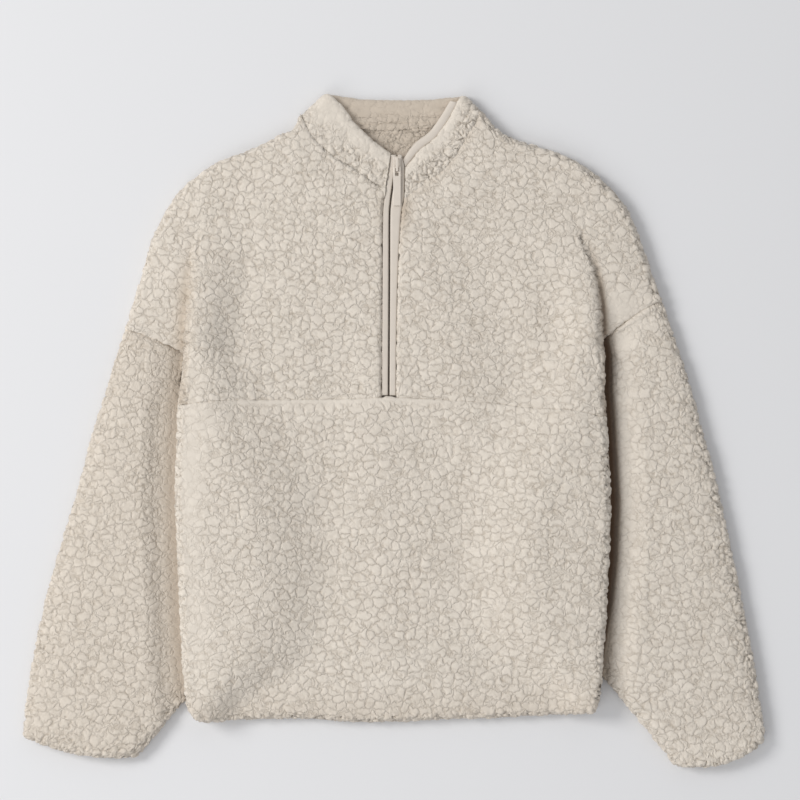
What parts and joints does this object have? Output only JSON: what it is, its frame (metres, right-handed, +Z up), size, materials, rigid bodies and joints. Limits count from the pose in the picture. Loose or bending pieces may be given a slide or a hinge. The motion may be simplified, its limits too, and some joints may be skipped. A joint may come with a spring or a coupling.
{
  "type": "plush fleece half-zip pullover laid flat",
  "caption": "Boxy plush fleece pullover with a stand collar, half zip and chest seam, laid flat with its sleeves tucked beside and under the body.",
  "frame": {"origin": "under the middle of the whole laid garment, on the surface that it lies on", "axes": "+X to the right of the garment as seen from above, +Y up to the collar, +Z up from the surface"},
  "size_m": [0.8134, 0.7403, 0.0376],
  "materials": {
    "fleece": "curly plush fleece, matt",
    "smooth_cloth": "smooth woven tape",
    "lacquered_metal": "satin lacquer"
  },
  "bodies": {
    "garment": {"back": "fleece", "front_lower": "fleece", "front_upper_left": "fleece", "front_upper_right": "fleece", "sleeve_left": "fleece", "sleeve_right": "fleece", "collar": "fleece", "collar_facing": "smooth_cloth", "zip_tape_left": "smooth_cloth", "zip_tape_right": "smooth_cloth", "slider": "lacquered_metal"},
    "tab": {"pull_tab": "lacquered_metal"}
  },
  "joints": [
    {"name": "pull_tab_hinge", "type": "hinge", "parent": "garment", "child": "tab", "pos_m": [0.0039, 0.29, 0.01917], "axis": [-1, 0, 0], "range_deg": [0, 150]}
  ]
}
